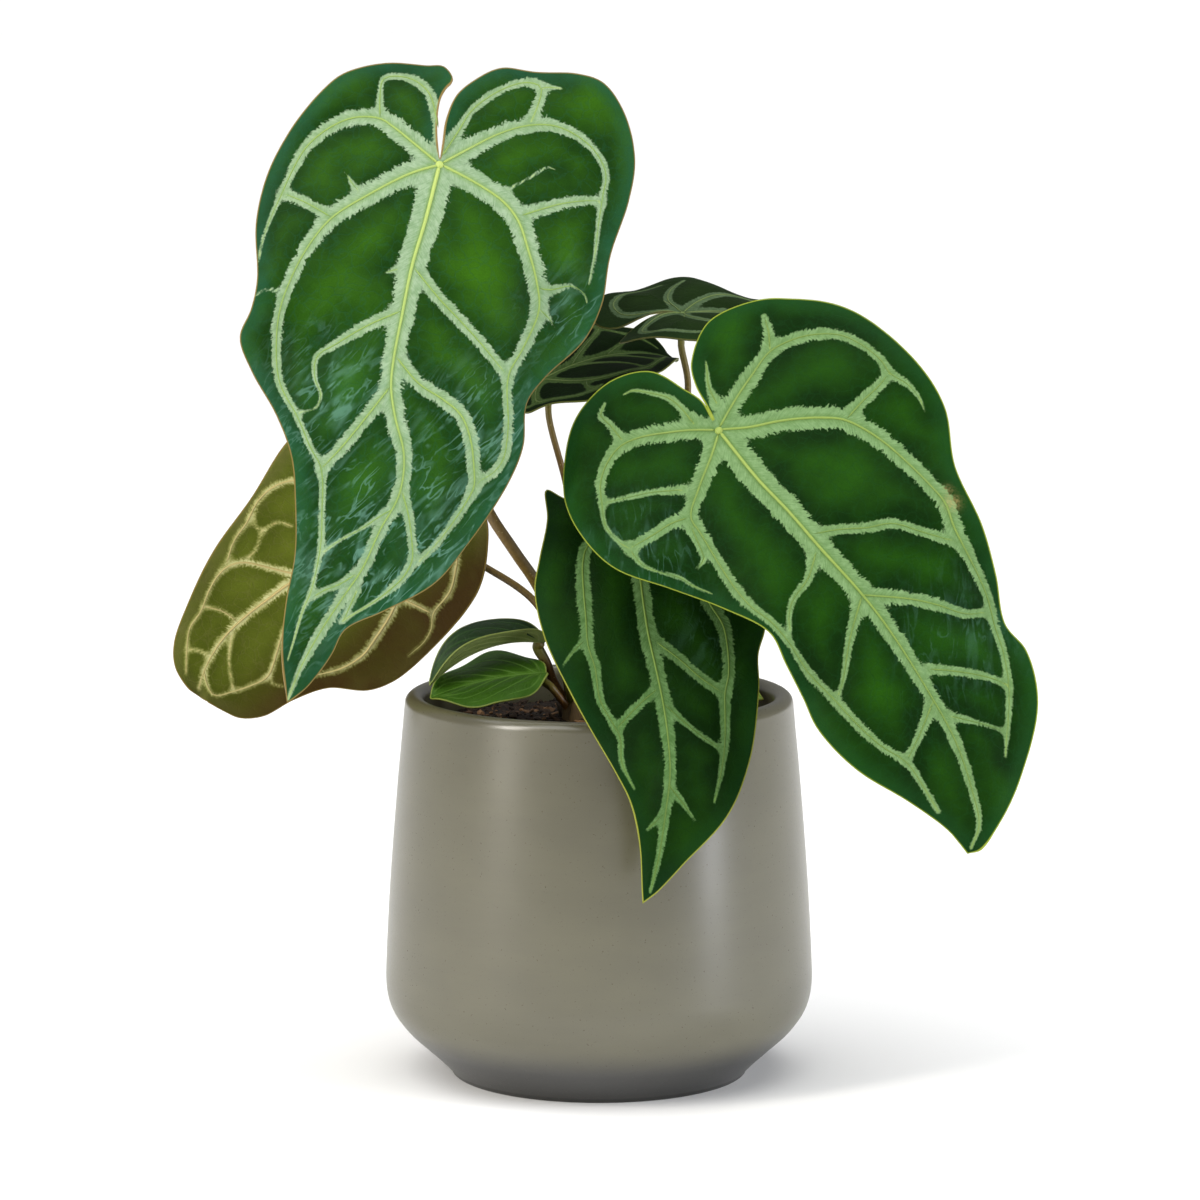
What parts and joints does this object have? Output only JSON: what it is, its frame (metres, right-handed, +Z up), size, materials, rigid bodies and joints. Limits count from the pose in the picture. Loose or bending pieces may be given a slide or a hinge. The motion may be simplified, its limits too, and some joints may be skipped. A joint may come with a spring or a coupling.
{
  "type": "potted anthurium magnificum",
  "caption": "Velvet-leaved anthurium with pale-veined heart-shaped leaves on tall stems in a tapered stoneware pot.",
  "frame": {"origin": "centre of the pot's flat underside", "axes": "+Z up through the pot's axis, -Y towards the viewer, +X to the viewer's right"},
  "size_m": [0.3166, 0.2016, 0.3775],
  "materials": {
    "pot": "satin stoneware glaze, sage taupe",
    "soil": "dark peat with crumbs of bark",
    "stems": "smooth brown-green living stem",
    "leaf_a": "velvety living leaf with pale veins",
    "leaf_b": "velvety living leaf with pale veins",
    "leaf_c": "velvety living leaf with pale veins",
    "leaf_d": "matt olive underside of a living leaf",
    "leaf_e": "velvety living leaf with pale veins",
    "leaf_f": "velvety living leaf with pale veins",
    "leaf_g": "velvety living leaf with pale veins",
    "leaf_h": "thin young leaf, satin",
    "leaf_i": "thin young leaf, satin"
  },
  "bodies": {
    "root": {"pot": "pot", "soil": "soil", "stems": "stems", "leaf_a": "leaf_a", "leaf_b": "leaf_b", "leaf_c": "leaf_c", "leaf_d": "leaf_d", "leaf_e": "leaf_e", "leaf_f": "leaf_f", "leaf_g": "leaf_g", "leaf_h": "leaf_h", "leaf_i": "leaf_i"}
  },
  "joints": []
}
